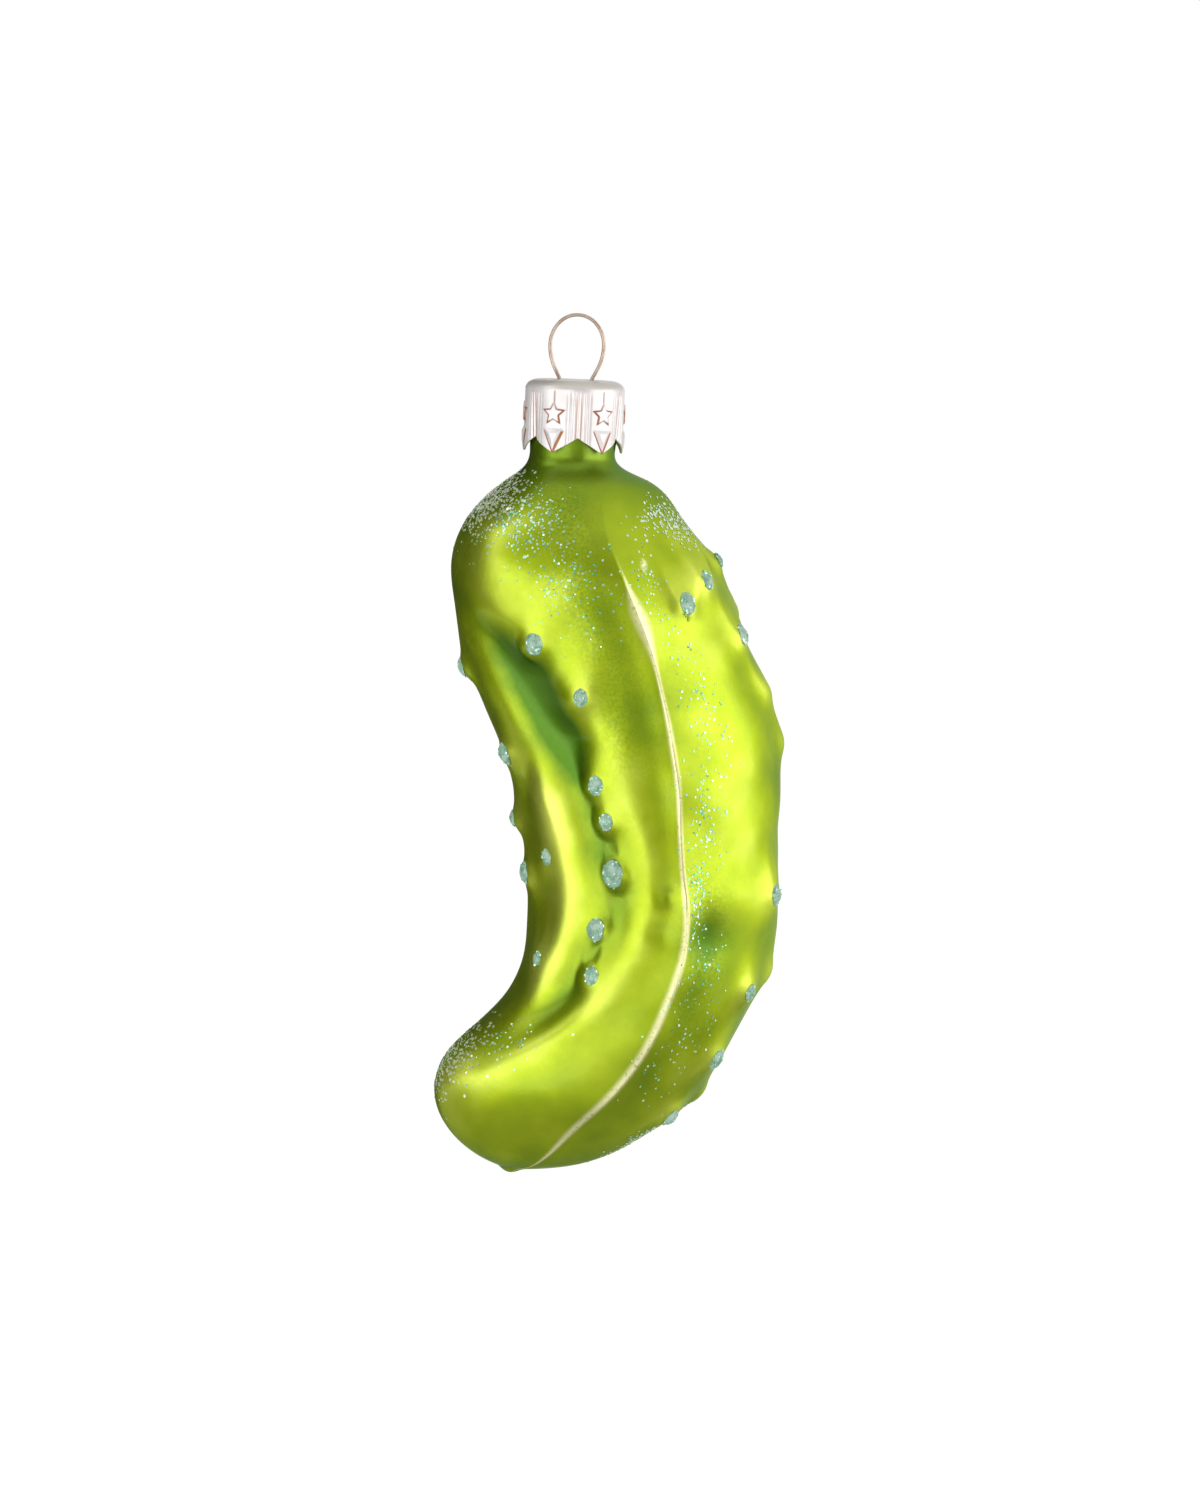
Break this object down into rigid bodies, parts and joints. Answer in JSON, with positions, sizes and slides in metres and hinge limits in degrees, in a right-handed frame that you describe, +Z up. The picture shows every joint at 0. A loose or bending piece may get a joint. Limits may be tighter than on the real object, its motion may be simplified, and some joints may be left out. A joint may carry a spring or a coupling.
{
  "type": "pickle ornament",
  "caption": "Hollow glass pickle with ribs, warts and a mould seam, hung by a spring-wire eye from a stamped cap that pulls off its neck.",
  "frame": {"origin": "centre of the hanging eye of the wire", "axes": "+Z up along the axis of the neck, cap and hanger, +X to the outer side of the pickle's bend, +Y from the front to the back, along the hook through the eye"},
  "size_m": [0.0389, 0.0292, 0.0974],
  "materials": {
    "lacquered_glass": "satin green lacquer on silvered blown glass, opaque",
    "cap_sheet": "bright stamped sheet",
    "hanger_wire": "drawn spring wire",
    "glitter_glue": "clear glue full of iridescent glitter"
  },
  "bodies": {
    "glass": {"glass_pickle": "lacquered_glass", "glitter_dab_01": "glitter_glue", "glitter_dab_02": "glitter_glue", "glitter_dab_03": "glitter_glue", "glitter_dab_04": "glitter_glue", "glitter_dab_05": "glitter_glue", "glitter_dab_06": "glitter_glue", "glitter_dab_07": "glitter_glue", "glitter_dab_08": "glitter_glue", "glitter_dab_09": "glitter_glue", "glitter_dab_10": "glitter_glue", "glitter_dab_11": "glitter_glue", "glitter_dab_12": "glitter_glue", "glitter_dab_13": "glitter_glue", "glitter_dab_14": "glitter_glue", "glitter_dab_15": "glitter_glue", "glitter_dab_16": "glitter_glue", "glitter_dab_17": "glitter_glue", "glitter_dab_18": "glitter_glue", "glitter_dab_19": "glitter_glue", "glitter_dab_20": "glitter_glue", "glitter_dab_21": "glitter_glue", "glitter_dab_22": "glitter_glue", "glitter_dab_23": "glitter_glue", "glitter_dab_24": "glitter_glue", "glitter_dab_25": "glitter_glue", "glitter_dab_26": "glitter_glue", "glitter_dab_27": "glitter_glue", "glitter_dab_28": "glitter_glue", "glitter_dab_29": "glitter_glue", "glitter_dab_30": "glitter_glue", "glitter_dab_31": "glitter_glue"},
    "cap": {"cap": "cap_sheet"},
    "hanger": {"wire_hanger": "hanger_wire"}
  },
  "joints": [
    {"name": "cap_lift", "type": "slide", "parent": "glass", "child": "cap", "axis": [0, 0, 1], "range_m": [0, 0.016]},
    {"name": "hanger_slide", "type": "slide", "parent": "cap", "child": "hanger", "axis": [0, 0, 1], "range_m": [0, 0.003]}
  ]
}
